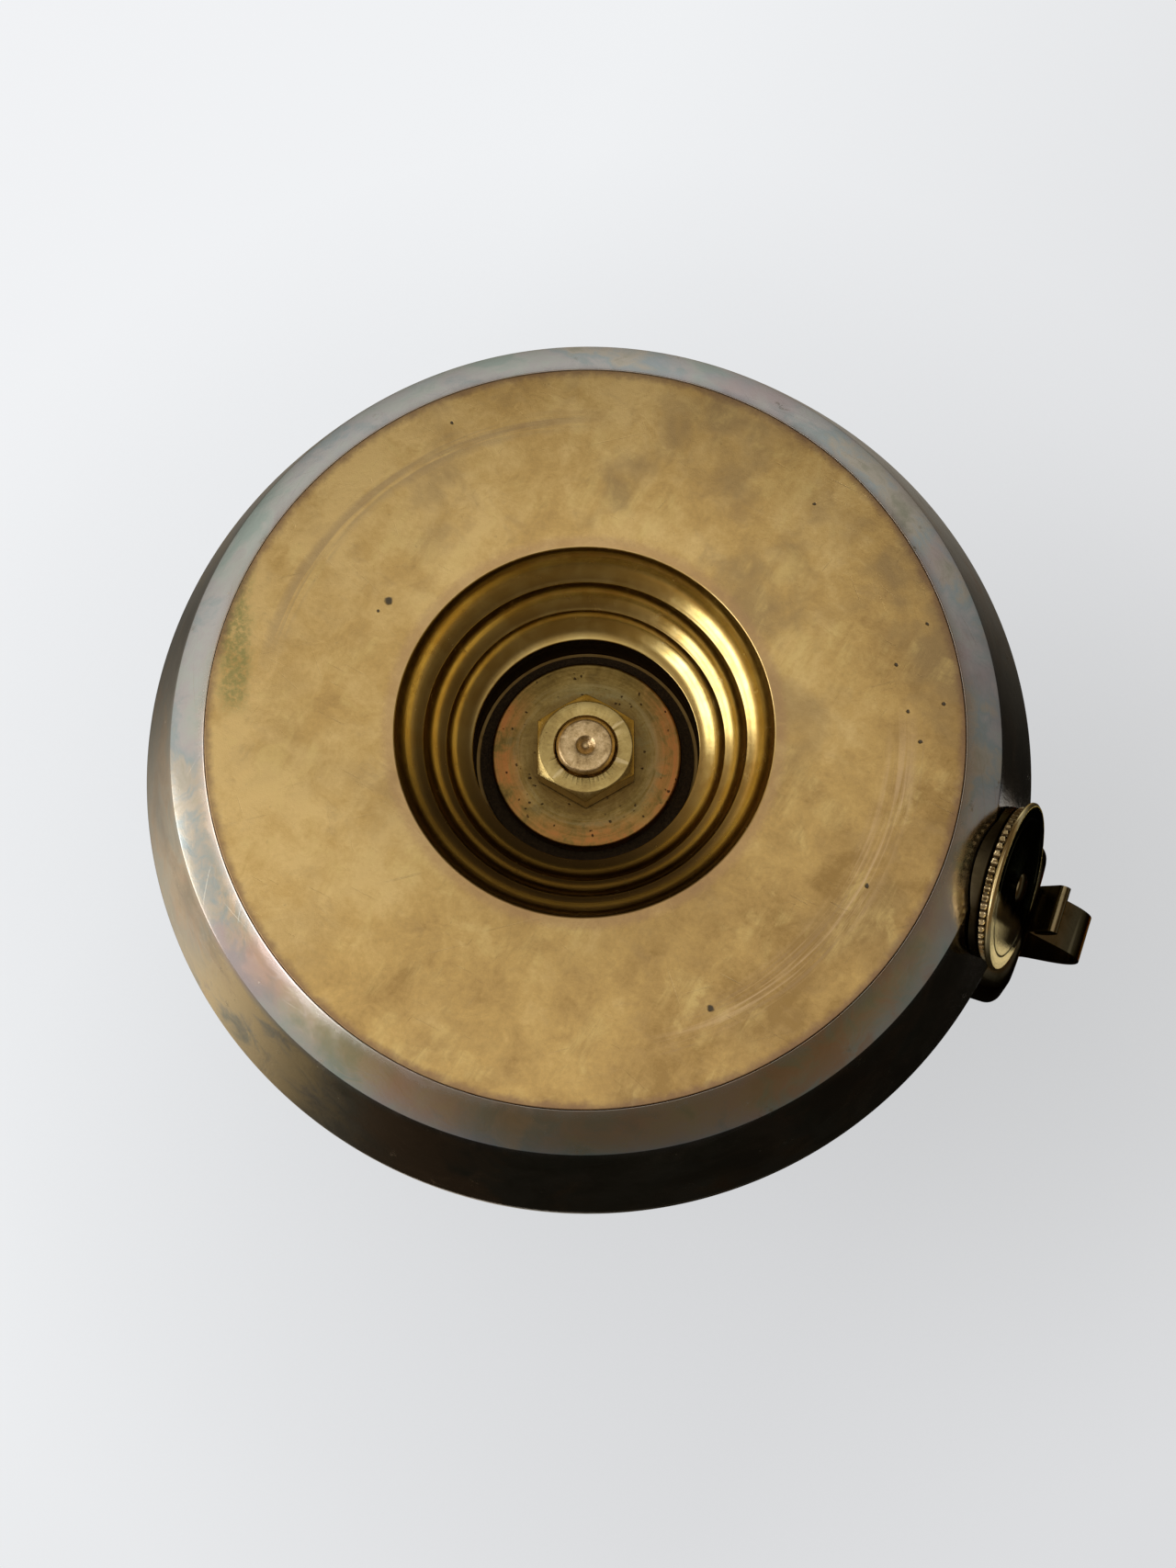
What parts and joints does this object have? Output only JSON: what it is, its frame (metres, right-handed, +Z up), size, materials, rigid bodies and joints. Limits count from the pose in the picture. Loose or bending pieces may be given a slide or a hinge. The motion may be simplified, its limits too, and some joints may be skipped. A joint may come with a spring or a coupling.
{
  "type": "alcohol burner",
  "caption": "Squat brass alcohol burner: flat base with a stepped recess, side filler held by a strap latch, annular wick with a turning air shutter, and a hinged flat-topped snuffer.",
  "frame": {"origin": "middle of the whole burner's footprint box on the plane it rests on, latch included; the tank's round axis stands 4.50 mm from it along -X", "axes": "+Z up, away from the base; +X towards the side of the filler and latch, which stand 18 degrees round from +X towards +Y; the snuffer hinges on the -X side"},
  "size_m": [0.131, 0.122, 0.0982],
  "materials": {
    "raw_brass": "matte raw brass, scuffed and lightly tarnished",
    "dark_brass": "polished brass darkened with age, mirror-like with grey and brown tarnish",
    "bright_brass": "clean turned brass with fine lathe lines",
    "stained_brass": "turned brass washer, heat-stained reddish brown with small pits",
    "rod_steel": "bare steel, lightly scratched",
    "gasket_fibre": "dark oiled fibre",
    "cotton": "woven cotton wick, singed at the top",
    "knob_hardwood": "turned dark hardwood, oiled"
  },
  "bodies": {
    "tank": {"base_pan": "raw_brass", "lower_shell": "dark_brass", "upper_shell": "dark_brass", "clamp_gasket": "gasket_fibre", "clamp_washer": "stained_brass", "tie_rod": "rod_steel", "clamp_nut": "bright_brass", "head_nut": "bright_brass", "neck_gasket": "gasket_fibre", "burner_collar": "bright_brass", "draft_gallery": "bright_brass", "outer_wick_tube": "bright_brass", "inner_wick_tube": "bright_brass", "wick": "cotton", "wick_spider": "bright_brass", "feeder_cord_1": "cotton", "feeder_cord_2": "cotton", "feeder_cord_3": "cotton", "feeder_cord_4": "cotton", "flame_spreader": "bright_brass", "hinge_bracket": "bright_brass", "hinge_pin": "rod_steel", "filler_neck": "dark_brass", "filler_gasket": "gasket_fibre", "latch_boss": "dark_brass", "latch_rivet": "bright_brass"},
    "shutter": {"air_shutter": "bright_brass", "shutter_lever": "bright_brass", "lever_knob": "knob_hardwood"},
    "snuffer": {"snuffer_cap": "dark_brass", "hinge_leaf": "bright_brass", "snuffer_tab": "bright_brass"},
    "filler": {"filler_cap": "dark_brass", "cap_disc": "dark_brass", "cap_rivet": "bright_brass"},
    "latch": {"latch_strap": "dark_brass"}
  },
  "joints": [
    {"name": "cap_turn", "type": "hinge", "parent": "tank", "child": "filler", "pos_m": [0.05304, 0.0187, 0.012], "axis": [0.9142, 0.297, -0.2756], "range_deg": [0, 90]},
    {"name": "latch_swing", "type": "hinge", "parent": "tank", "child": "latch", "pos_m": [0.05708, 0.02001, 0.0435], "axis": [0.9511, 0.309, 0], "range_deg": [0, 90]},
    {"name": "shutter_turn", "type": "hinge", "parent": "tank", "child": "shutter", "pos_m": [-0.0045, 0, 0.0705], "axis": [0, 0, 1], "range_deg": [0, 22.5]},
    {"name": "snuffer_open", "type": "hinge", "parent": "tank", "child": "snuffer", "pos_m": [-0.0315, 0, 0.079], "axis": [0, -1, 0], "range_deg": [0, 115]}
  ]
}
